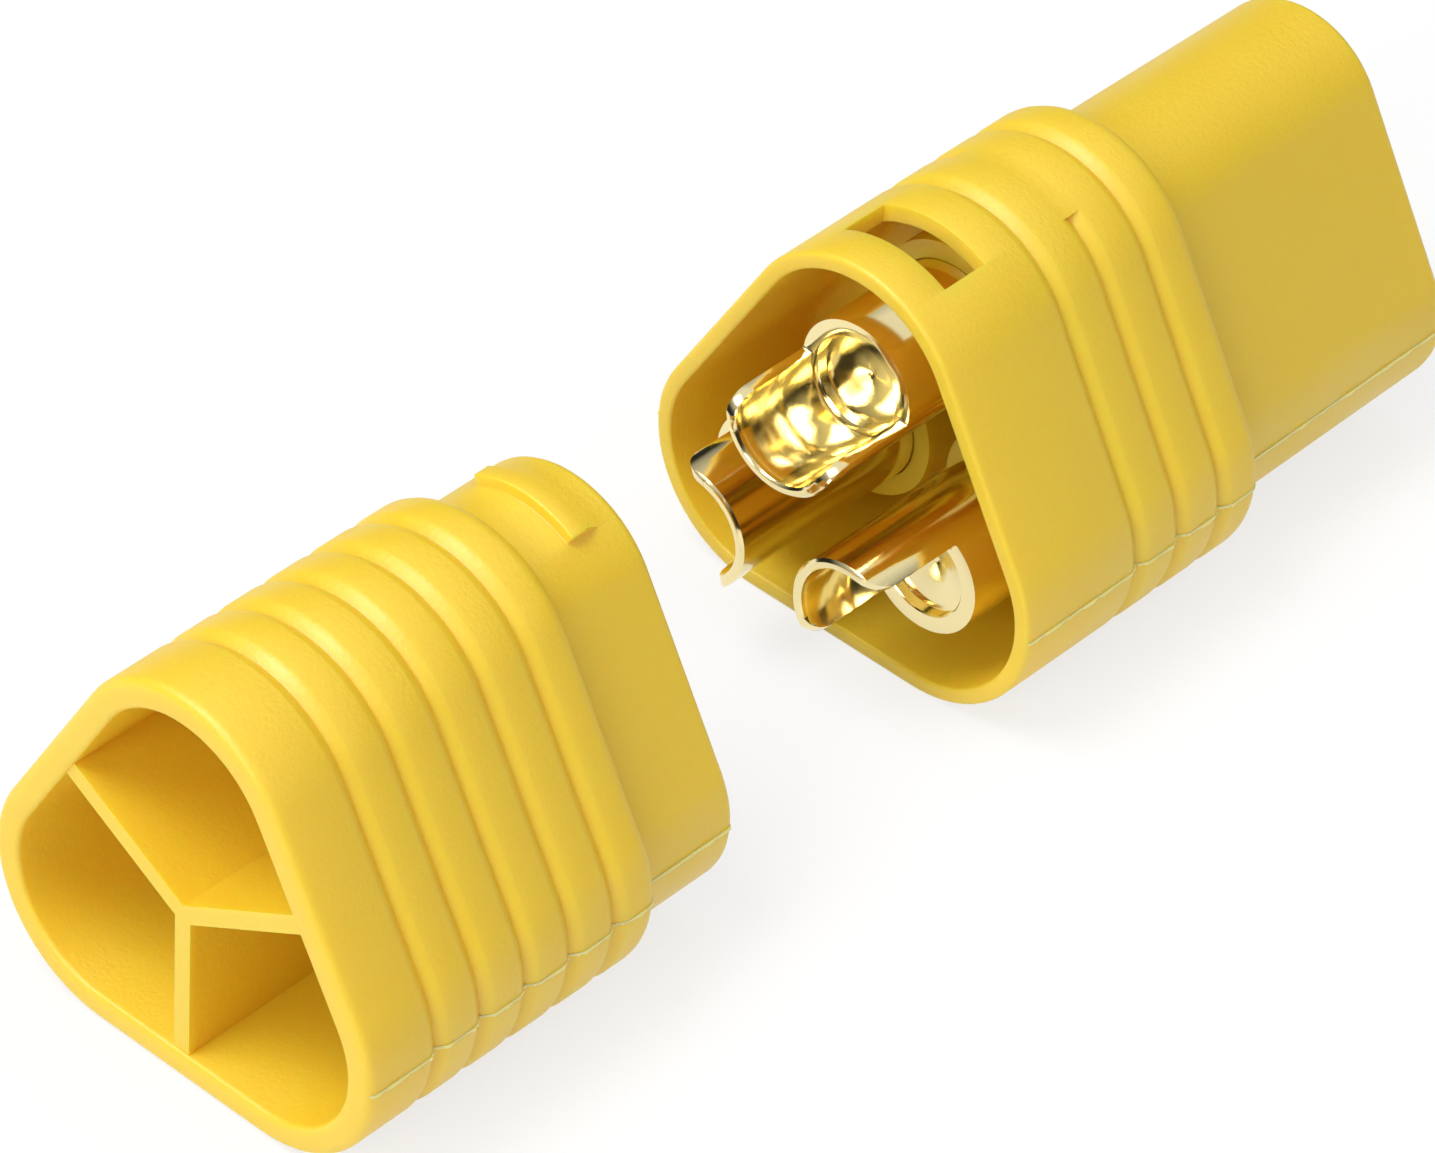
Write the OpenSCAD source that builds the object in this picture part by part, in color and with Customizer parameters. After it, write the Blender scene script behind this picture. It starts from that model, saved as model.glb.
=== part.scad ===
// Three-pole power connector with solder-cup contacts.
// The moulded housing carries three turned contacts; its back cap is drawn taken off, in line behind it.
// X runs along the connector towards the mating face, Z is up, both mouldings lie on their flat lower side.

/* [Layout] */
// Centre distance between neighbouring contacts
contact_pitch = 7.2; // [6.4:0.1:9]
// Open distance between the cap's collar and the housing rim
cap_gap = 14; // [2:0.5:30]

/* [Moulded section] */
// Distance of each rounded corner's centre from the connector axis
corner_offset = 4.35; // [4:0.05:5]
// Corner radius on the crest of the grip bands
band_radius = 4.95; // [4.5:0.05:5.6]
// Depth of the grooves between the grip bands
groove_depth = 0.36; // [0.1:0.02:0.6]
// Rounding of the body ends
end_rounding = 0.7; // [0.3:0.1:1]

/* [Housing] */
// Housing length from the rim to the mating face
housing_length = 24.4; // [22:0.1:30]
// Length of the grip body
housing_body_length = 12.7; // [11.5:0.1:14]
// Rim to the centre of the first groove
housing_first_groove = 6; // [5.4:0.1:6.5]
// Centre distance of the housing grooves
housing_groove_pitch = 2.25; // [2:0.05:2.4]
// Corner radius of the plug
plug_radius = 3.8; // [3.5:0.05:4.2]
// Taper of the plug over its length
plug_draft = 0.08; // [0:0.02:0.2]
// Wall round the rear pocket
pocket_wall = 0.65; // [0.5:0.05:0.9]
// Depth of the rear pocket
pocket_depth = 7.4; // [6.5:0.1:9]
// Height of the guide collars on the pocket floor
collar_height = 2.2; // [1:0.1:2.6]
// Wall of the guide collars
collar_wall = 0.7; // [0.5:0.05:0.9]
// Half width of the plain pad over the apex
pad_half_width = 2.5; // [1.5:0.1:3]

/* [Latch] */
// Rim to the near edge of the latch window
window_start = 1.85; // [1.5:0.05:2.2]
// Length of the latch window
window_length = 2.05; // [1.8:0.05:2.6]
// Width of the latch window
window_width = 4.6; // [4:0.1:5.4]
// Height of the latch ridge
ridge_height = 0.4; // [0.2:0.05:0.6]
// Clearance of the ridge in the window on every side
latch_clearance = 0.2; // [0.1:0.05:0.4]

/* [Back cap] */
// Length of the ribbed part of the cap
cap_body_length = 13.65; // [12.5:0.05:16]
// Cable end to the centre of the first groove
cap_first_groove = 3.2; // [2.8:0.1:3.8]
// Centre distance of the cap grooves
cap_groove_pitch = 2.1; // [1.9:0.05:2.3]
// Length of the collar that enters the housing
neck_length = 4.45; // [3.5:0.05:4.8]
// Play between the collar and the pocket wall
neck_clearance = 0.15; // [0.05:0.05:0.3]
// Wall of the collar
neck_wall = 0.8; // [0.6:0.05:1]
// Wall at the cable end
cap_wall = 1.1; // [0.9:0.05:1.3]
// Thickness of the three partition arms
arm_thickness = 0.7; // [0.5:0.05:1]
// Length of the partition along the cap
arm_length = 8.8; // [6:0.1:9.5]
// Set-back of the partition from the cable end
arm_recess = 0.15; // [0:0.05:0.5]

/* [Contacts] */
// Outer radius of the solder cups
cup_radius = 2.45; // [2.2:0.05:2.6]
// Wall of the solder cups
cup_wall = 0.65; // [0.4:0.05:0.8]
// Length of the cups standing out of the housing
cup_overhang = 3.75; // [2.5:0.05:5]
// Length of the half cut
cup_cut_length = 4.05; // [3:0.05:5]
// Cut plane below the contact axis
cup_cut_drop = 0.15; // [0:0.05:0.4]
// Rounding of the lip corners
lip_rounding = 1.1; // [0.4:0.1:1.5]
// Depth of the cup behind the cut
cup_well = 0.3; // [0.1:0.05:1]
// Depth of the drill point at the bottom of the cup
cup_cone = 0.4; // [0.2:0.05:1]
// Outer radius of the socket sleeve
sleeve_radius = 2.2; // [2.1:0.05:2.3]
// Bore radius of the socket
socket_radius = 1.75; // [1.5:0.05:1.9]
// Depth of the socket bore
socket_depth = 9; // [6:0.5:12]
// Set-back of the sleeve from the mating face
sleeve_recess = 0.5; // [0.2:0.1:1.5]
// Length of the contact shank behind the pocket floor
shank_length = 1.8; // [1:0.1:3]
// Play between a contact and its seat
seat_clearance = 0.04; // [0.02:0.01:0.1]

/* [Hidden] */
$fn = 48;
corner_steps = 12;
edge_break = 0.18;
contact_offset = contact_pitch / sqrt(3);
axis_height = corner_offset / 2 + band_radius;
neck_radius = band_radius - pocket_wall - neck_clearance;
total_length = cap_body_length + neck_length + cap_gap + housing_length;
cap_end_x = -total_length / 2;
rim_x = total_length / 2 - housing_length;
groove_b = housing_first_groove + housing_groove_pitch;
groove_c = housing_first_groove + 2 * housing_groove_pitch;
seat_depth = pocket_depth + shank_length;
cup_floor = cup_cut_length - cup_overhang + cup_well;
sleeve_end = housing_length - sleeve_recess;
slack = 0.5;

// groove profile: distance from the centre against share of the full depth
groove_shape = [[0, 1], [0.12, 0.95], [0.26, 0.66], [0.44, 0.34], [0.66, 0.12], [0.9, 0.02]];

function ring(x, r) = [
    for (k = [0:2])
        for (j = [0:corner_steps])
            let (mid = 90 + 120 * k, a = mid - 60 + 120 * j / corner_steps)
                [x, corner_offset * cos(mid) + r * cos(a), corner_offset * sin(mid) + r * sin(a)]
];

function groove(centre, r) = concat(
    [for (i = [5:-1:1]) [centre - groove_shape[i][0], r - groove_depth * groove_shape[i][1]]],
    [for (i = [0:5]) [centre + groove_shape[i][0], r - groove_depth * groove_shape[i][1]]]
);

function grooves(list, r) = [for (c = list) for (p = groove(c, r)) p];

function round_start(x, r, s) = [
    for (a = [0, 30, 60, 90]) [x + s * (1 - sin(a)), r - s * (1 - cos(a))]
];

function round_in(x, r, s) = [for (a = [90, 60, 30, 0]) [x + s * (1 - sin(a)), r - s * (1 - cos(a))]];

function round_out(x, r, s) = [for (a = [0, 22.5, 45, 67.5, 90]) [x - s + s * sin(a), r - s * (1 - cos(a))]];

// closed skin through a list of [x, corner radius] stations
module loft(stations) {
    n = 3 * (corner_steps + 1);
    last = len(stations) - 1;
    points = [for (s = stations) each ring(s[0], s[1])];
    sides = [
        for (i = [0:last - 1])
            for (j = [0:n - 1])
                let (k = (j + 1) % n)
                    [i * n + j, (i + 1) * n + j, (i + 1) * n + k, i * n + k]
    ];
    start = [for (j = [0:n - 1]) j];
    finish = [for (j = [n - 1:-1:0]) last * n + j];
    polyhedron(points, concat([start], sides, [finish]), convexity = 8);
}

// places children on the three contact axes, first child axis along X
module at_contact(angle) {
    translate([rim_x, contact_offset * cos(angle), axis_height + contact_offset * sin(angle)])
        rotate([angle - 90, 0, 0])
            children();
}

module rod(x, r, length) {
    translate([x, 0, 0])
        rotate([0, 90, 0])
            cylinder(r = r, h = length);
}

module housing_shell() {
    loft(concat(
        round_in(0, band_radius, edge_break),
        grooves([housing_first_groove, groove_b, groove_c], band_radius),
        round_out(housing_body_length, band_radius, end_rounding),
        [[housing_body_length + 0.01, plug_radius + plug_draft]],
        [[housing_length - 0.35, plug_radius]],
        round_out(housing_length, plug_radius, 0.35)
    ));
}

// plain pad that interrupts the middle groove over the apex
module apex_pad() {
    intersection() {
        loft([[groove_b - 1, band_radius - 0.03], [groove_b + 1, band_radius - 0.03]]);
        translate([groove_b - 1.2, -pad_half_width, 0])
            cube([2.4, 2 * pad_half_width, 2 * band_radius + corner_offset]);
    }
}

module housing() {
    color("gold")
        difference() {
            translate([rim_x, 0, axis_height]) {
                housing_shell();
                apex_pad();
            }
            difference() {
                translate([rim_x, 0, axis_height])
                    loft([[-slack, band_radius - pocket_wall], [pocket_depth, band_radius - pocket_wall]]);
                for (angle = [90, 210, 330])
                    at_contact(angle)
                        rod(pocket_depth - collar_height, cup_radius + seat_clearance + collar_wall, collar_height + 1);
            }
            translate([rim_x + window_start, -window_width / 2, axis_height + corner_offset])
                cube([window_length, window_width, band_radius + slack]);
            for (angle = [90, 210, 330])
                at_contact(angle) {
                    rod(pocket_depth - collar_height - 1, cup_radius + seat_clearance, collar_height + shank_length + 1);
                    rod(pocket_depth, sleeve_radius + seat_clearance, housing_length);
                    translate([housing_length - 0.3, 0, 0])
                        rotate([0, 90, 0])
                            cylinder(r1 = sleeve_radius + seat_clearance, r2 = sleeve_radius + 0.5, h = 0.4);
                }
        }
}

// turned contact along X, open side of the cup towards local +Z
module contact() {
    color("goldenrod")
        difference() {
            rotate([0, 90, 0])
                rotate_extrude()
                    polygon([
                        [0, cup_floor + cup_cone],
                        [cup_radius - cup_wall, cup_floor],
                        [cup_radius - cup_wall, 0.25 - cup_overhang],
                        [cup_radius - cup_wall + 0.2, -cup_overhang],
                        [cup_radius - 0.12, -cup_overhang],
                        [cup_radius, 0.15 - cup_overhang],
                        [cup_radius, seat_depth - 0.05],
                        [sleeve_radius, seat_depth - 0.05],
                        [sleeve_radius, sleeve_end - 0.2],
                        [sleeve_radius - 0.15, sleeve_end],
                        [socket_radius + 0.15, sleeve_end],
                        [socket_radius, sleeve_end - 0.2],
                        [socket_radius, sleeve_end - socket_depth],
                        [0, sleeve_end - socket_depth - 0.8]
                    ]);
            translate([-cup_overhang - slack, -cup_radius - slack, -cup_cut_drop])
                cube([cup_cut_length + slack, 2 * (cup_radius + slack), cup_radius + slack]);
            lip_corner();
        }
}

// corner block less its rounding, taken off both lips at the cable end
module lip_corner() {
    translate([-cup_overhang - 0.1, cup_radius + slack, -cup_cut_drop - lip_rounding])
        rotate([90, 0, 0])
            linear_extrude(2 * (cup_radius + slack))
                difference() {
                    square([lip_rounding + 0.1, lip_rounding + 0.1]);
                    translate([lip_rounding + 0.1, 0])
                        circle(r = lip_rounding);
                }
}

module contact_top() {
    at_contact(90) contact();
}

module contact_left() {
    at_contact(330) contact();
}

module contact_right() {
    at_contact(210) contact();
}

// wedge ridge on the collar that snaps into the housing window
module latch_ridge() {
    ridge_back = window_start + latch_clearance;
    ridge_front = window_start + window_length - latch_clearance;
    width = window_width - 2 * latch_clearance - 0.2;
    top = corner_offset + neck_radius + ridge_height;
    intersection() {
        translate([cap_body_length + ridge_back, width / 2, corner_offset])
            rotate([90, 0, 0])
                linear_extrude(width)
                    polygon([
                        [0, 0],
                        [0, neck_radius + ridge_height + 0.1],
                        [0.5, neck_radius + ridge_height + 0.1],
                        [ridge_front - ridge_back, neck_radius - 0.05],
                        [ridge_front - ridge_back, 0]
                    ]);
        translate([0, 0, corner_offset])
            rod(cap_body_length, neck_radius + ridge_height, neck_length);
    }
}

module cap_shell() {
    loft(concat(
        round_in(0, band_radius, 0.35),
        grooves([for (i = [0:4]) cap_first_groove + i * cap_groove_pitch], band_radius),
        round_out(cap_body_length, band_radius, end_rounding),
        [[cap_body_length + 0.01, neck_radius]],
        [[cap_body_length + neck_length - 0.4, neck_radius]],
        round_out(cap_body_length + neck_length, neck_radius, 0.4)
    ));
}

module cap_bore() {
    loft([
        [-slack, band_radius - cap_wall],
        [cap_body_length - 1.6, band_radius - cap_wall],
        [cap_body_length - 1, neck_radius - neck_wall],
        [cap_body_length + neck_length + slack, neck_radius - neck_wall]
    ]);
}

// three arms from the axis to the middle of each flat side
module partition() {
    intersection() {
        for (angle = [30, 150, 270])
            rotate([angle, 0, 0])
                translate([arm_recess, 0, -arm_thickness / 2])
                    cube([arm_length, corner_offset / 2 + band_radius - cap_wall + 0.3, arm_thickness]);
        loft([[0, band_radius - cap_wall + 0.2], [cap_body_length, band_radius - cap_wall + 0.2]]);
    }
}

module back_cap() {
    color("gold")
        translate([cap_end_x, 0, axis_height]) {
            difference() {
                union() {
                    cap_shell();
                    latch_ridge();
                }
                cap_bore();
            }
            partition();
        }
}

housing();
contact_top();
contact_left();
contact_right();
back_cap();
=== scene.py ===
import math
import random

import bpy
from mathutils import Matrix, Vector


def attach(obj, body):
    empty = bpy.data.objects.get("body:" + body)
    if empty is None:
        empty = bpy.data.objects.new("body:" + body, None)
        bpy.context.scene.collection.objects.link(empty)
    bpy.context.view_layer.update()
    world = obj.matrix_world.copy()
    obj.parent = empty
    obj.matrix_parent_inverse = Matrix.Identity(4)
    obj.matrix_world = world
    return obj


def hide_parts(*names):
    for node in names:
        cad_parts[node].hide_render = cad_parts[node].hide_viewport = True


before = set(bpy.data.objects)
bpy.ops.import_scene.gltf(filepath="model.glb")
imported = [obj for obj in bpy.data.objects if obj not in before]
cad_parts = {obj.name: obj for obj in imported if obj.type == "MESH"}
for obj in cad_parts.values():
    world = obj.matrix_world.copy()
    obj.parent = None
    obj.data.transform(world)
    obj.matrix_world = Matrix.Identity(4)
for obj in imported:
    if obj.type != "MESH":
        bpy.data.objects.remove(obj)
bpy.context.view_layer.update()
mm = 0.001
corners = (90, 210, 330)  # where the rounded corners and the contacts lie, in degrees from +Y to +Z

# where the connector lies, shared by every piece (millimetres)
layout = {
    "rimX": 3.85,            # cable-side rim of the housing
    "capEndX": -28.25,       # cable end of the back cap
    "axisZ": 7.125,          # connector axis above the floor
    "cornerOffset": 4.35,    # rounded corner centres from the axis
    "contactOffset": 4.157,  # contact axes from the connector axis
    "contactTurn": 8,        # the cups' open sides stand a little off the radial direction
}
mergeDistance = 0.002 * mm
overlap = 1.0  # a cutting tool reaches this far past what it cuts


def deselectAll():
    if bpy.context.object and bpy.context.object.mode != "OBJECT":
        bpy.ops.object.mode_set(mode="OBJECT")
    bpy.ops.object.select_all(action="DESELECT")


def pick(obj):
    deselectAll()
    obj.select_set(True)
    bpy.context.view_layer.objects.active = obj
    return obj


def named(obj, name):
    obj.name = name
    obj.data.name = name
    return obj


def settle(obj):
    # the place goes into the mesh and the object back to the origin
    pick(obj)
    bpy.ops.object.transform_apply(location=True, rotation=True, scale=True)
    return obj


def cleanUp(obj, fill=False):
    pick(obj)
    bpy.ops.object.mode_set(mode="EDIT")
    bpy.ops.mesh.select_all(action="SELECT")
    bpy.ops.mesh.remove_doubles(threshold=mergeDistance)
    if fill:
        bpy.ops.mesh.fill_holes(sides=0)
        bpy.ops.mesh.select_all(action="SELECT")
    bpy.ops.mesh.normals_make_consistent(inside=False)
    bpy.ops.object.mode_set(mode="OBJECT")
    return obj


def combine(target, tool, how):
    pick(target)
    m = target.modifiers.new("combine", "BOOLEAN")
    m.operation = how
    m.solver = "EXACT"
    m.object = tool
    bpy.ops.object.modifier_apply(modifier=m.name)
    bpy.data.objects.remove(tool, do_unlink=True)


def bevelSharp(obj, test, size, segments=2, sharpness=40):
    # small rounding on the sharp edges that lie where the test says
    pick(obj)
    bpy.ops.object.mode_set(mode="EDIT")
    bpy.ops.mesh.select_mode(type="EDGE")
    bpy.ops.mesh.select_all(action="DESELECT")
    bpy.ops.mesh.edges_select_sharp(sharpness=math.radians(sharpness))
    bpy.ops.object.mode_set(mode="OBJECT")
    mesh = obj.data
    keep = [e.index for e in mesh.edges
            if e.select and all(test(mesh.vertices[i].co / mm) for i in e.vertices)]
    for group in (mesh.polygons, mesh.edges, mesh.vertices):
        group.foreach_set("select", [False] * len(group))
    for i in keep:
        mesh.edges[i].select = True
    bpy.ops.object.mode_set(mode="EDIT")
    bpy.ops.mesh.bevel(offset=size * mm, segments=segments, affect="EDGES", clamp_overlap=True)
    bpy.ops.object.mode_set(mode="OBJECT")


def drawChain(name, points):
    # one vertex is extruded from point to point, as a profile is drawn by hand
    deselectAll()
    bpy.ops.mesh.primitive_plane_add(size=mm, location=(0, 0, 0))
    obj = named(bpy.context.object, name)
    bpy.ops.object.mode_set(mode="EDIT")
    bpy.ops.mesh.select_mode(type="VERT")
    bpy.ops.mesh.select_all(action="SELECT")
    bpy.ops.mesh.merge(type="CENTER")
    bpy.ops.transform.translate(value=Vector(points[0]) * mm)
    for a, b in zip(points, points[1:]):
        pullSelection((Vector(b) - Vector(a)) * mm)
    return obj


def pullSelection(step):
    bpy.ops.mesh.extrude_region_move(TRANSFORM_OT_translate={"value": step})


def closeChain():
    # the chain's last point lies on its first
    bpy.ops.mesh.select_all(action="SELECT")
    bpy.ops.mesh.remove_doubles(threshold=mergeDistance)
    bpy.ops.mesh.select_all(action="SELECT")


def spinProfile(angle, steps, center):
    # a spin turns the other way round without a window, so its angle is given negative
    bpy.ops.mesh.spin(steps=steps, angle=-math.radians(angle),
                      center=Vector(center) * mm, axis=(1, 0, 0))


def cornerCentre(angle):
    c, a = layout["cornerOffset"], math.radians(angle)
    return Vector((0, c * math.cos(a), layout["axisZ"] + c * math.sin(a)))


def roundTriangle(name, profile, originX, steps=30, fill=False):
    # the (x, radius) profile is spun round each corner and carried along the side to the next one
    first = math.radians(30)
    top = cornerCentre(90)
    points = [(originX + x, top.y + r * math.cos(first), top.z + r * math.sin(first))
              for x, r in profile]
    obj = drawChain(name, points)
    bpy.ops.mesh.select_all(action="SELECT")
    for here, after in zip(corners, corners[1:] + corners[:1]):
        spinProfile(120, steps, cornerCentre(here))
        pullSelection((cornerCentre(after) - cornerCentre(here)) * mm)
    bpy.ops.object.mode_set(mode="OBJECT")
    return cleanUp(obj, fill)


def cornerPatch(name, profile, originX, fromAngle, toAngle, steps=20):
    # a closed (x, radius) profile spun over part of the apex corner
    a, top = math.radians(fromAngle), cornerCentre(90)
    points = [(originX + x, top.y + r * math.cos(a), top.z + r * math.sin(a))
              for x, r in profile + profile[:1]]
    obj = drawChain(name, points)
    closeChain()
    spinProfile(toAngle - fromAngle, steps, top)
    bpy.ops.object.mode_set(mode="OBJECT")
    return cleanUp(obj, fill=True)


def arc(x, r, size, fromAngle, toAngle, steps=4):
    angles = [math.radians(fromAngle + (toAngle - fromAngle) * i / steps) for i in range(steps + 1)]
    return [(x + size * math.cos(a), r + size * math.sin(a)) for a in angles]


def grooveStations(centre, radius, depth, reach, steps=7):
    # full bands with a narrow valley between them: distance from the centre against share of the depth
    half = [(i / steps, (1 - i / steps) ** 1.5) for i in range(steps + 1)]
    half[0] = (0.05, 0.93)  # the valley's bottom is a little blunt
    before = [(centre - d * reach, radius - depth * share) for d, share in reversed(half)]
    after = [(centre + d * reach, radius - depth * share) for d, share in half]
    return before + [(centre, radius - depth * 0.97)] + after


def rodTool(x, r, length, y, z, vertices=64):
    deselectAll()
    bpy.ops.mesh.primitive_cylinder_add(
        vertices=vertices, radius=r * mm, depth=length * mm,
        location=((x + length / 2) * mm, y * mm, z * mm), rotation=(0, math.pi / 2, 0))
    return settle(bpy.context.object)


def boxTool(low, high):
    deselectAll()
    low, high = Vector(low), Vector(high)
    bpy.ops.mesh.primitive_cube_add(size=1, location=(low + high) / 2 * mm, scale=(high - low) * mm)
    return settle(bpy.context.object)


def contactAxis(angle):
    a = math.radians(angle)
    return layout["contactOffset"] * math.cos(a), layout["axisZ"] + layout["contactOffset"] * math.sin(a)


def smooth(obj, angle=35):
    pick(obj)
    bpy.ops.object.shade_smooth_by_angle(angle=math.radians(angle))


def linear(hexText):
    parts = [int(hexText[i:i + 2], 16) / 255 for i in (1, 3, 5)]
    return tuple(c / 12.92 if c <= 0.04045 else ((c + 0.055) / 1.055) ** 2.4 for c in parts) + (1.0,)


def addNode(tree, kind, settings=None, inputs=None):
    node = tree.nodes.new("ShaderNode" + kind)
    for key, value in (settings or {}).items():
        setattr(node, key, value)
    for key, value in (inputs or {}).items():
        if isinstance(value, bpy.types.NodeSocket):
            tree.links.new(value, node.inputs[key])
        else:
            node.inputs[key].default_value = value
    return node


def newMaterial(name):
    material = bpy.data.materials.new(name)
    material.use_nodes = True
    tree = material.node_tree
    tree.nodes.clear()
    return material, tree


# injection-moulded nylon with yellow pigment: a satin skin that lets a little light into the thin walls
def mouldedNylon(name, colour, sheen):
    material, tree = newMaterial(name)
    place = addNode(tree, "TexCoord")
    # the mould's grain is about 0.05 mm, drawn near 0.2 mm so that it shows
    grain = addNode(tree, "TexNoise", inputs={
        "Vector": place.outputs["Object"], "Scale": 5200, "Detail": 2, "Roughness": 0.6})
    flow = addNode(tree, "TexNoise", inputs={
        "Vector": place.outputs["Object"], "Scale": 240, "Detail": 3, "Roughness": 0.5})
    patchy = addNode(tree, "MapRange", inputs={
        "Value": flow.outputs["Fac"], "From Min": 0.3, "From Max": 0.7,
        "To Min": sheen - 0.05, "To Max": sheen + 0.06})
    bump = addNode(tree, "Bump", inputs={
        "Strength": 0.5, "Distance": 0.00004, "Height": grain.outputs["Fac"]})
    shader = addNode(tree, "BsdfPrincipled", inputs={
        "Base Color": linear(colour), "IOR": 1.53, "Roughness": patchy.outputs["Result"],
        "Specular IOR Level": 0.8, "Subsurface Weight": 0.5, "Subsurface Scale": 0.0015,
        "Normal": bump.outputs["Normal"]})
    shader.inputs["Subsurface Radius"].default_value = (1.0, 0.45, 0.1)
    addNode(tree, "OutputMaterial", inputs={"Surface": shader.outputs["BSDF"]})
    return material


# turned brass under thin gold plate: a bright mirror that keeps the lathe's rings
def goldPlate(name):
    material, tree = newMaterial(name)
    place = addNode(tree, "TexCoord")
    # tool marks are finer than 0.1 mm, drawn near 0.5 mm so that they show
    turned = addNode(tree, "TexNoise", inputs={
        "Vector": place.outputs["Object"], "Scale": 1800, "Detail": 2, "Roughness": 0.5})
    bump = addNode(tree, "Bump", inputs={
        "Strength": 0.12, "Distance": 0.00003, "Height": turned.outputs["Fac"]})
    shader = addNode(tree, "BsdfPrincipled", inputs={
        "Base Color": linear("#F6E6AE"), "Metallic": 1.0, "Roughness": 0.13,
        "Normal": bump.outputs["Normal"]})
    addNode(tree, "OutputMaterial", inputs={"Surface": shader.outputs["BSDF"]})
    return material


housingNylon = mouldedNylon("yellowNylonHousing", "#ECC92A", 0.46)
capNylon = mouldedNylon("yellowNylonCap", "#EFCB2C", 0.44)
# painted light: the flash at the parting line is the same nylon, painted paler for the light that shines
# through the thin fin and catches on it
flashPaintedLightNylon = mouldedNylon("yellowNylonFlashPaintedLight", "#F6E58C", 0.5)
contactGold = goldPlate("goldPlatedBrass")

housingSizes = {
    "bandRadius": 4.95, "grooveDepth": 0.29, "grooveReach": 0.5, "grooves": (6.0, 8.25, 10.5),
    "bodyLength": 12.7, "bodyRounding": 0.7, "length": 24.4, "plugRadius": 3.8, "plugDraft": 0.08,
    "pocketRadius": 4.3, "pocketDepth": 7.4, "rimOuter": 0.18, "rimInner": 0.12,
    "windowStart": 1.85, "windowLength": 2.05, "windowWidth": 4.6,
    "collarHeight": 2.2, "collarWall": 0.7, "seatRadius": 2.49, "seatDepth": 9.2, "boreRadius": 2.24,
    "padHalfAngle": 30, "padHalfLength": 0.62, "padDrop": 0.012, "padRoot": 0.6,
    "floorFillet": 0.4, "shoulderFillet": 0.15, "plugRounding": 0.35, "collarRoot": 0.5, "windowBevel": 0.07,
}


def housingOuter(s):
    band, plug = s["bandRadius"], s["plugRadius"]
    rows = arc(s["rimOuter"], band - s["rimOuter"], s["rimOuter"], 180, 90, 3)
    for centre in s["grooves"]:
        rows += grooveStations(centre, band, s["grooveDepth"], s["grooveReach"])
    body, soft, fillet, end = s["bodyLength"], s["bodyRounding"], s["shoulderFillet"], s["plugRounding"]
    rows += arc(body - soft, band - soft, soft, 90, 0, 6)
    rows += arc(body + fillet, plug + s["plugDraft"] + fillet, fillet, 180, 270, 3)
    return rows + arc(s["length"] - end, plug - end, end, 90, 0, 4)


def buildHousing(s):
    rim, pocket, depth, fillet = layout["rimX"], s["pocketRadius"], s["pocketDepth"], s["floorFillet"]
    rows = arc(depth - fillet, pocket - fillet, fillet, 0, 90)
    rows += arc(s["rimInner"], pocket + s["rimInner"], s["rimInner"], 270, 180, 3)
    shell = roundTriangle("housingMoulding", rows + housingOuter(s), rim, fill=True)
    # the plain pad fills the middle groove over the apex
    pad = s["bandRadius"] - s["padDrop"]
    back, front = s["grooves"][1] - s["padHalfLength"], s["grooves"][1] + s["padHalfLength"]
    root = pad - s["padRoot"]
    plate = cornerPatch("pad", [(back, root), (back, pad), (front, pad), (front, root)],
                        rim, 90 - s["padHalfAngle"], 90 + s["padHalfAngle"])
    combine(shell, plate, "UNION")
    collarStart = rim + depth - s["collarHeight"]
    for angle in corners:
        collar = rodTool(collarStart, s["seatRadius"] + s["collarWall"],
                         s["collarHeight"] + s["collarRoot"], *contactAxis(angle))
        combine(shell, collar, "UNION")
    for angle in corners:
        seat = rodTool(collarStart - overlap, s["seatRadius"],
                       s["seatDepth"] - depth + s["collarHeight"] + overlap, *contactAxis(angle))
        combine(shell, seat, "DIFFERENCE")
        bore = rodTool(rim + depth, s["boreRadius"], s["length"] - depth + overlap, *contactAxis(angle))
        combine(shell, bore, "DIFFERENCE")
    half, start = s["windowWidth"] / 2, rim + s["windowStart"]
    window = boxTool((start, -half, layout["axisZ"] + layout["cornerOffset"]),
                     (start + s["windowLength"], half, layout["axisZ"] + 12))
    combine(shell, window, "DIFFERENCE")
    # the region holds the window's edges and no others
    bevelSharp(shell, lambda p: rim + 1.5 < p.x < rim + 4.3 and abs(p.y) < 2.6 and p.z > 13,
               s["windowBevel"])
    return shell


finSizes = {"step": 0.3, "low": 0.01, "high": 0.1, "thickness": 0.09, "root": 0.2}


def partingFin(name, rows, originX, side, seed):
    # a thin uneven fin along the widest line of a lower corner, where the two mould halves met
    s, centre = finSizes, cornerCentre(210 if side < 0 else 330)
    random.seed(seed)
    dense = [rows[0]]
    for a, b in zip(rows, rows[1:]):
        pieces = max(1, round(math.hypot(b[0] - a[0], b[1] - a[1]) / s["step"]))
        dense += [(a[0] + (b[0] - a[0]) * i / pieces, a[1] + (b[1] - a[1]) * i / pieces)
                  for i in range(1, pieces + 1)]
    low, wide = centre.z - s["thickness"] / 2, abs(centre.y)
    crest = [(originX + x, side * (wide + r + random.uniform(s["low"], s["high"])), low) for x, r in dense]
    root = [(originX + x, side * (wide + r - s["root"]), low) for x, r in reversed(dense)]
    fin = drawChain(name, crest + root + crest[:1])
    closeChain()
    bpy.ops.mesh.edge_face_add()
    pullSelection((0, 0, s["thickness"] * mm))
    bpy.ops.object.mode_set(mode="OBJECT")
    return cleanUp(fin)


def addPartingFins(name, rows, originX, material):
    for label, side in (("Right", -1), ("Left", 1)):
        fin = partingFin(name + label, rows, originX, side, 11 + side)
        fin.data.materials.append(material)
        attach(fin, "root")


housing = buildHousing(housingSizes)
housing.data.materials.append(housingNylon)
smooth(housing)
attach(housing, "root")
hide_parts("housing")
addPartingFins("housingFin", housingOuter(housingSizes)[2:-2], layout["rimX"], flashPaintedLightNylon)
print("housing done")

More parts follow.
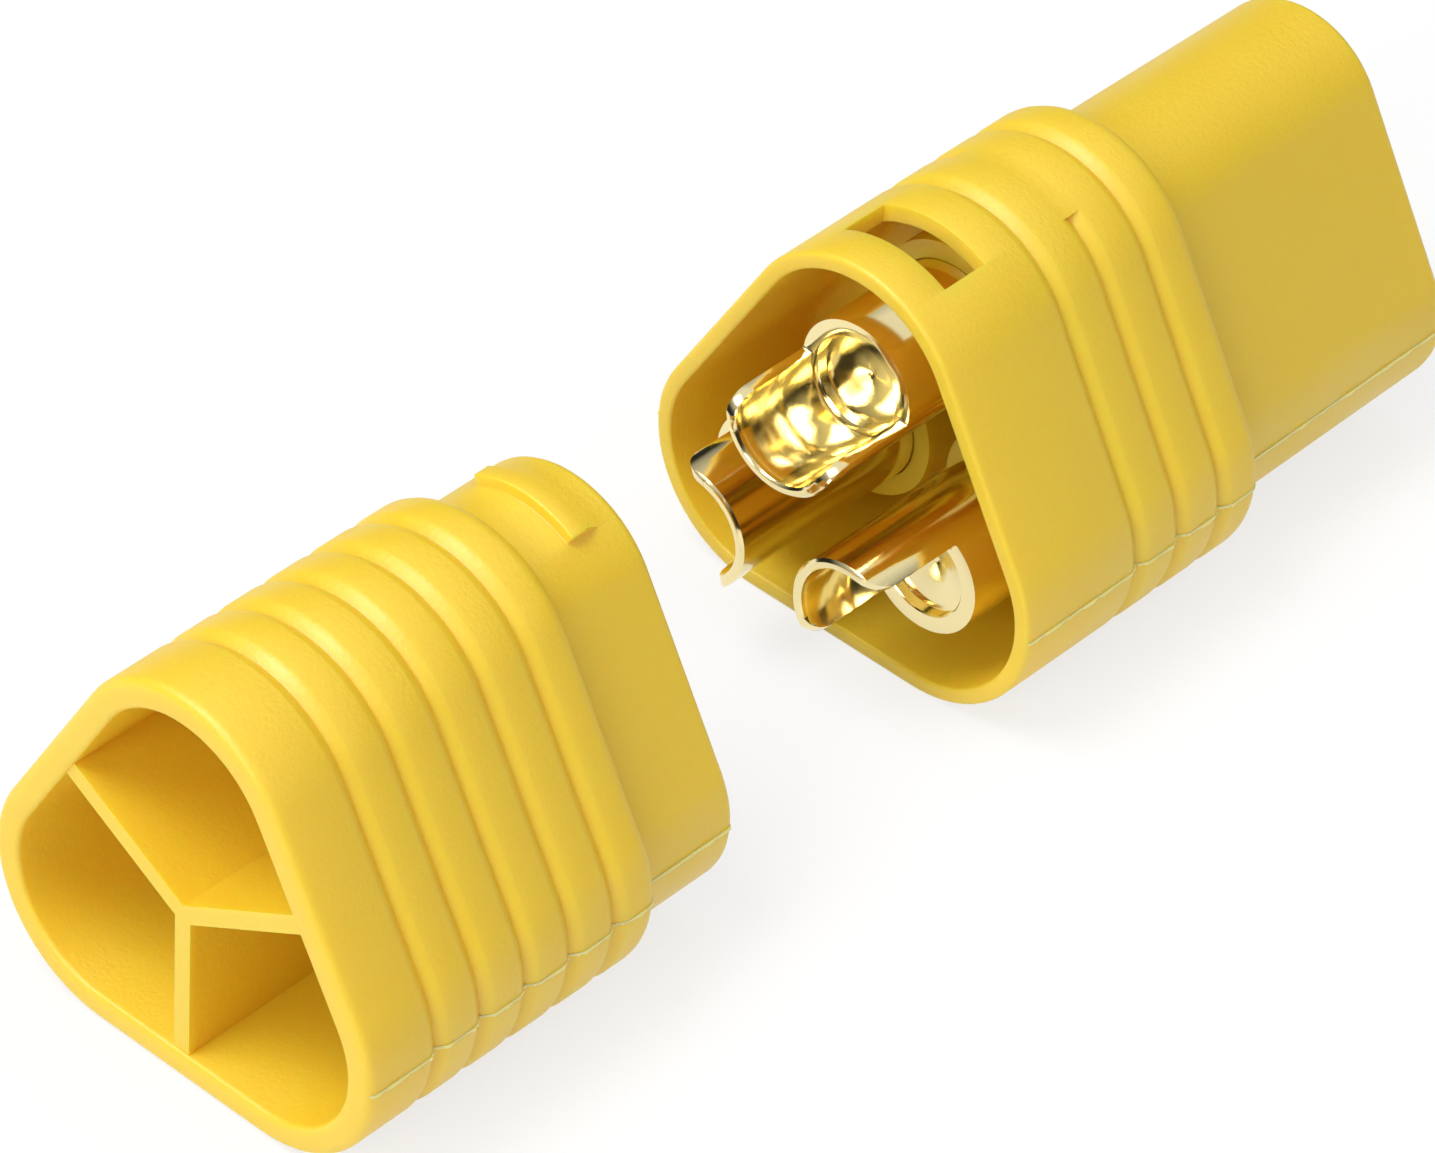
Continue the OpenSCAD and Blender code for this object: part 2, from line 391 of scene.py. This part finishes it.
capSizes = {
    "bandRadius": 4.95, "grooveDepth": 0.29, "grooveReach": 0.5,
    "firstGroove": 3.2, "groovePitch": 2.1, "count": 5,
    "bodyLength": 13.65, "bodyRounding": 0.7, "endOuter": 0.35, "endInner": 0.2,
    "neckLength": 4.45, "neckRadius": 4.15, "neckBore": 3.35, "neckRounding": 0.35, "neckFillet": 0.12,
    "bore": 3.85, "stepFront": 1.0, "stepBack": 1.6,
    "armThickness": 0.7, "armLength": 8.8, "armRecess": 0.15, "armRoot": 0.3, "armMeet": 0.1,
    "ridgeBack": 1.9, "ridgeFront": 3.4, "ridgeTop": 0.75, "ridgeHeight": 0.4, "ridgeHalfAngle": 30,
    "ridgeRoot": 0.3, "ridgeSlant": 0.08, "ridgeSink": 0.02, "ridgeBevel": 0.13,
}


def capOuter(s):
    band, body, neck = s["bandRadius"], s["bodyLength"], s["neckRadius"]
    end, soft, fillet, edge = s["endOuter"], s["bodyRounding"], s["neckFillet"], s["neckRounding"]
    rows = arc(end, band - end, end, 180, 90, 4)
    for i in range(s["count"]):
        rows += grooveStations(s["firstGroove"] + i * s["groovePitch"], band,
                               s["grooveDepth"], s["grooveReach"])
    rows += arc(body - soft, band - soft, soft, 90, 0, 6)
    rows += arc(body + fillet, neck + fillet, fillet, 180, 270, 3)
    return rows + arc(body + s["neckLength"] - edge, neck - edge, edge, 90, 0, 4)


def buildCap(s):
    x0, body, neck, fillet = layout["capEndX"], s["bodyLength"], s["neckRadius"], s["neckFillet"]
    rows = arc(s["endInner"], s["bore"] + s["endInner"], s["endInner"], 270, 180, 3) + capOuter(s)
    rows += arc(body + s["neckLength"] - fillet, s["neckBore"] + fillet, fillet, 0, -90, 3)
    rows += [(body - s["stepFront"], s["neckBore"]), (body - s["stepBack"], s["bore"])]
    shell = roundTriangle("capMoulding", rows + rows[:1], x0)
    # the latch ridge: steep towards the cable, falling away towards the housing
    back, front, top = body + s["ridgeBack"], body + s["ridgeFront"], neck + s["ridgeHeight"]
    ridge = [(back, neck - s["ridgeRoot"]), (back + s["ridgeSlant"], top), (back + s["ridgeTop"], top),
             (front, neck - s["ridgeSink"]), (front, neck - s["ridgeRoot"])]
    wedge = cornerPatch("ridge", ridge, x0, 90 - s["ridgeHalfAngle"], 90 + s["ridgeHalfAngle"])
    combine(shell, wedge, "UNION")
    reach = layout["cornerOffset"] / 2 + s["bore"] + s["armRoot"]
    half = s["armThickness"] / 2
    for turn in (0, 120, 240):
        arm = boxTool((x0 + s["armRecess"], -half, -reach),
                      (x0 + s["armRecess"] + s["armLength"], half, s["armMeet"]))
        arm.location.z = layout["axisZ"] * mm
        arm.rotation_euler.x = math.radians(turn)
        settle(arm)
        combine(shell, arm, "UNION")
    # the region holds the ridge's edges and no others
    bevelSharp(shell, lambda p: p.x > x0 + body + 1.2 and p.z > 13 and abs(p.y) < 2.8,
               s["ridgeBevel"], 3, 30)
    return shell


cap = buildCap(capSizes)
cap.data.materials.append(capNylon)
smooth(cap)
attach(cap, "root")
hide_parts("back_cap")
addPartingFins("capFin", capOuter(capSizes)[2:-2], layout["capEndX"], flashPaintedLightNylon)
print("cap done")

contactSizes = {
    "radius": 2.45, "pipeBore": 2.06, "overhang": 3.75, "mouthInner": 0.1, "mouthOuter": 0.12,
    "mouthInnerDrop": 0.08, "mouthOuterDrop": 0.1,
    "cutEnd": 0.3, "cutDrop": 0.15, "cutFillet": 0.12, "cutEdge": 0.045, "lipRounding": 1.1,
    "cutterHalf": 3.2, "cutterBeyond": 0.6,
    "wellRadius": 1.78, "wellDepth": 0.45, "wellEdge": 0.05, "coneDepth": 0.45, "coneRings": 12,
    "ringPitch": 0.24, "ringDepth": 0.013, "ringShare": 0.7, "ringsStart": 0.25, "ringsEnd": 0.3,
    "seatDepth": 9.15, "sleeveRadius": 2.2, "sleeveEnd": 23.9, "leadLength": 0.2, "leadDepth": 0.15,
    "socketRadius": 1.75, "socketDepth": 9.0, "drillTip": 0.8,
}


def contactOutline(s):
    # half of the section, drawn in the X-Z plane from the well's centre round to the socket's
    r, pipe, well, cut, mouth = s["radius"], s["pipeBore"], s["wellRadius"], s["cutEnd"], -s["overhang"]
    wellFloor = cut + s["wellDepth"]
    rows = [(wellFloor + s["coneDepth"], 0)]
    for i in range(1, s["coneRings"]):
        lift = s["ringDepth"] * (1 if i % 2 else -1)
        rows.append((wellFloor + s["coneDepth"] * (1 - i / s["coneRings"]) + lift, well * i / s["coneRings"]))
    rows += [(wellFloor, well), (cut + s["wellEdge"], well), (cut, well + s["wellEdge"]), (cut, pipe)]
    # turning rings at uneven distances
    x, i, share = cut - s["ringsStart"], 0, s["ringShare"]
    random.seed(5)
    while x > s["ringsEnd"] - s["overhang"]:
        rows.append((x, pipe + s["ringDepth"] * (share if i % 2 else -share)))
        x -= s["ringPitch"] * random.uniform(0.4, 1.2)
        i += 1
    rows += [(mouth + s["mouthInner"], pipe), (mouth, pipe + s["mouthInnerDrop"]),
             (mouth, r - s["mouthOuterDrop"]), (mouth + s["mouthOuter"], r)]
    end, sleeve, socket = s["sleeveEnd"], s["sleeveRadius"], s["socketRadius"]
    rows += [(s["seatDepth"], r), (s["seatDepth"], sleeve), (end - s["leadLength"], sleeve),
             (end, sleeve - s["leadDepth"]), (end, socket + s["leadDepth"]),
             (end - s["leadLength"], socket), (end - s["socketDepth"], socket),
             (end - s["socketDepth"] - s["drillTip"], 0)]
    return rows


def cupCutter(s):
    # the half cut with its rounded lips, drawn from the side and pulled across the cup
    cut, low, fillet, lip = s["cutEnd"], -s["cutDrop"], s["cutFillet"], s["lipRounding"]
    wide, back = s["cutterHalf"], -s["overhang"] - s["cutterBeyond"]
    outline = [(cut, wide), (cut, low + fillet)]
    outline += arc(cut - fillet, low + fillet, fillet, 0, -90, 3)[1:]
    outline += arc(-s["overhang"] + lip, low - lip, lip, 90, 180, 10)
    outline += [(back, low - lip), (back, wide), (cut, wide)]
    tool = drawChain("cutter", [(x, -wide, z) for x, z in outline])
    closeChain()
    pullSelection((0, 2 * wide * mm, 0))
    bpy.ops.object.mode_set(mode="OBJECT")
    cleanUp(tool, fill=True)
    return tool


def buildContact(s):
    obj = drawChain("contact", [(x, 0, z) for x, z in contactOutline(s)])
    bpy.ops.mesh.select_all(action="SELECT")
    spinProfile(360, 72, (0, 0, 0))
    bpy.ops.object.mode_set(mode="OBJECT")
    cleanUp(obj)
    combine(obj, cupCutter(s), "DIFFERENCE")
    bevelSharp(obj, lambda p: p.x < s["cutEnd"] + 0.04, s["cutEdge"], 2, 45)
    return obj


contactModel = buildContact(contactSizes)
for node, angle in (("contact_top", 90), ("contact_left", 330), ("contact_right", 210)):
    contact = contactModel.copy()
    contact.data = contactModel.data.copy()
    bpy.context.collection.objects.link(contact)
    named(contact, "contact" + node.split("_")[1].capitalize())
    y, z = contactAxis(angle)
    contact.location = Vector((layout["rimX"], y, z)) * mm
    contact.rotation_euler.x = math.radians(angle - 90 + layout["contactTurn"])
    settle(contact)
    contact.data.materials.append(contactGold)
    smooth(contact)
    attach(contact, "root")
    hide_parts(node)
bpy.data.objects.remove(contactModel, do_unlink=True)
print("contacts done")

floorSizes = {"width": 4000, "gap": 0.02, "glowShare": 0.75}

# pale paper that the camera and the reflections see as plain white, with the object's shadow kept
deselectAll()
bpy.ops.mesh.primitive_plane_add(size=floorSizes["width"] * mm, location=(0, 0, -floorSizes["gap"] * mm))
floor = settle(named(bpy.context.object, "floor"))
paper, tree = newMaterial("whiteStudioPaper")
rays = addNode(tree, "LightPath")
seen = addNode(tree, "Math", {"operation": "ADD"}, {
    0: rays.outputs["Is Camera Ray"], 1: rays.outputs["Is Glossy Ray"]})
seen = addNode(tree, "Math", {"operation": "ADD"}, {
    0: seen.outputs[0], 1: rays.outputs["Is Transmission Ray"]})
share = addNode(tree, "Math", {"operation": "MULTIPLY", "use_clamp": True}, {
    0: seen.outputs[0], 1: floorSizes["glowShare"]})
matte = addNode(tree, "BsdfDiffuse", inputs={"Color": (0.9, 0.9, 0.9, 1)})
glow = addNode(tree, "Emission", inputs={"Color": (1, 1, 1, 1), "Strength": 1.0})
mixed = addNode(tree, "MixShader", inputs={0: share.outputs[0], 1: matte.outputs[0], 2: glow.outputs[0]})
addNode(tree, "OutputMaterial", inputs={"Surface": mixed.outputs[0]})
floor.data.materials.append(paper)

world = bpy.data.worlds.new("studio")
bpy.context.scene.world = world
world.use_nodes = True
# a light ceiling over darker walls, so that the metal has something dark to mirror
sky = world.node_tree
sky.nodes.clear()
direction = addNode(sky, "TexCoord")
height = addNode(sky, "SeparateXYZ", inputs={0: direction.outputs["Generated"]})
level = addNode(sky, "MapRange", inputs={
    "Value": height.outputs["Z"], "From Min": 0.35, "From Max": 0.85, "To Min": 0.02, "To Max": 0.85})
backdrop = addNode(sky, "Background", inputs={"Color": (1, 1, 1, 1), "Strength": level.outputs["Result"]})
addNode(sky, "OutputWorld", inputs={"Surface": backdrop.outputs[0]})


def softBox(name, place, aim, size, power):
    deselectAll()
    place, aim = Vector(place), Vector(aim)
    turn = (aim - place).to_track_quat("-Z", "Y").to_euler()
    bpy.ops.object.light_add(type="AREA", location=place, rotation=turn)
    lamp = bpy.context.object
    lamp.name = name
    lamp.data.shape = "RECTANGLE"
    lamp.data.size, lamp.data.size_y = size
    lamp.data.energy = power


# places and sizes in metres, power in watts
lamps = {
    "keyBox": {"place": (-0.34, 0.20, 0.75), "aim": (0.01, 0, 0.01), "size": (0.45, 0.45), "power": 4.4},
    "frontBox": {"place": (-0.78, -0.15, 0.40), "aim": (0.01, 0, 0.01), "size": (0.38, 0.28), "power": 2.3},
    "sideBox": {"place": (0.10, -0.50, 0.30), "aim": (0, 0, 0.01), "size": (0.30, 0.30), "power": 0.25},
}
for lampName, lampSizes in lamps.items():
    softBox(lampName, **lampSizes)

cameraSizes = {
    "target": (-3.09, -0.49, 7.125), "azimuth": 49.77, "elevation": 40.05, "roll": 3.83,
    "distance": 270, "lens": 198.3,
}


def addCamera(s):
    a, e, t = (math.radians(s[k]) for k in ("azimuth", "elevation", "roll"))
    back = Vector((-math.sin(a) * math.cos(e), -math.cos(a) * math.cos(e), math.sin(e)))
    right = Vector((math.cos(a), -math.sin(a), 0))
    up = back.cross(right)
    right, up = right * math.cos(t) + up * math.sin(t), up * math.cos(t) - right * math.sin(t)
    deselectAll()
    bpy.ops.object.camera_add()
    camera = bpy.context.object
    place = (Vector(s["target"]) + back * s["distance"]) * mm
    turn = Matrix((right, up, back)).transposed().to_4x4()
    camera.matrix_world = Matrix.Translation(place) @ turn
    camera.data.lens = s["lens"]
    camera.data.sensor_width = 36
    camera.data.sensor_fit = "HORIZONTAL"
    camera.data.clip_start = 0.01
    bpy.context.scene.camera = camera


addCamera(cameraSizes)
bpy.context.scene.view_settings.view_transform = "Standard"
print("stage done")
